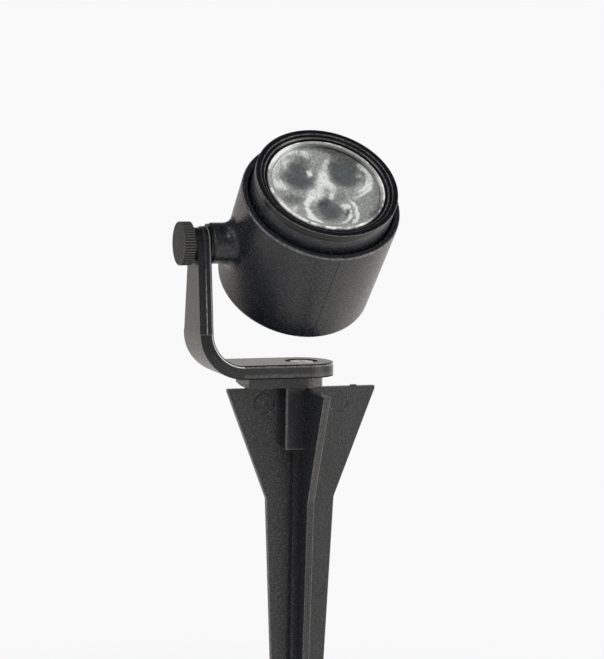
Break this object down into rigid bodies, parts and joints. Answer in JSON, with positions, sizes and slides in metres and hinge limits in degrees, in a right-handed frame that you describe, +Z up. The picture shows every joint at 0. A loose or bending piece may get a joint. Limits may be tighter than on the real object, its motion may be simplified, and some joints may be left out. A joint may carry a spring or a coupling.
{
  "type": "garden spike spotlight",
  "caption": "Round garden spotlight head that tilts on a thumbscrew pivot at the top of an L-shaped arm, fixed to a cross-section ground spike.",
  "frame": {"origin": "on the spike's axis, at the ground line where the fins' top edges meet the mounting block", "axes": "+Z up along the spike; X along the tilt axis with the thumbscrew towards -X; the head looks towards -Y and up"},
  "size_m": [0.0595, 0.0574, 0.2369],
  "materials": {
    "cast_black": "fine-textured matt black powder coat on cast aluminium",
    "cover_glass": "clear, a shallow cap",
    "black_rubber": "matt",
    "black_plastic": "fine-grained satin",
    "spike_plastic": "fine-grained matt, as moulded",
    "clear_acrylic": "clear and polished",
    "grey_pad": "matt",
    "white_board": "white solder mask on an aluminium core",
    "lamp_resin": "clear dome on a white base",
    "green_board": "green solder mask on glass-fibre board",
    "capacitor_can": "sleeved can",
    "ferrite": "matt ferrite",
    "chip_resin": "matt moulded resin",
    "plated_steel": "bright zinc plate",
    "lead_cover": "insulated wire"
  },
  "bodies": {
    "spike_base": {"spike": "spike_plastic", "foot_screw": "plated_steel"},
    "arm": {"bracket": "cast_black"},
    "lamp_head": {"head_housing": "cast_black", "inner_barrel": "cast_black", "bezel_ring": "cast_black", "front_glass": "cover_glass", "glass_gasket": "black_rubber", "optic_holder": "black_plastic", "barrel_o_ring": "black_rubber", "triple_optic": "clear_acrylic", "thermal_pad": "grey_pad", "led_board": "white_board", "led_packages": "lamp_resin", "board_screws": "plated_steel", "driver_board": "green_board", "driver_capacitor": "capacitor_can", "driver_inductor": "ferrite", "driver_rectifier": "chip_resin", "driver_screws": "plated_steel", "led_leads": "lead_cover", "gland_body": "black_plastic", "gland_nut": "black_plastic", "gland_washer": "black_rubber", "gland_seal": "black_rubber", "gland_cap": "black_plastic", "friction_washer": "black_plastic"},
    "clamp": {"lock_washer": "plated_steel"},
    "thumbscrew": {"thumb_knob": "black_plastic", "knob_stud": "plated_steel"}
  },
  "joints": [
    {"name": "pan_swivel", "type": "hinge", "parent": "spike_base", "child": "arm", "pos_m": [0, 0, 0], "axis": [0, 0, 1], "range_deg": [-180, 180]},
    {"name": "head_tilt", "type": "hinge", "parent": "arm", "child": "lamp_head", "pos_m": [0, 0, 0.04065], "axis": [-1, 0, 0], "range_deg": [-76.5, 43.5]},
    {"name": "screw_travel", "type": "slide", "parent": "lamp_head", "child": "clamp", "axis": [-1, 0, 0], "range_m": [0, 0.0016]},
    {"name": "knob_turn", "type": "hinge", "parent": "clamp", "child": "thumbscrew", "pos_m": [-0.03, 0, 0.04065], "axis": [-1, 0, 0], "range_deg": [0, 720]}
  ],
  "couplings": [
    {"joint": "knob_turn", "follows": "screw_travel", "rad_per_m": 7854}
  ]
}
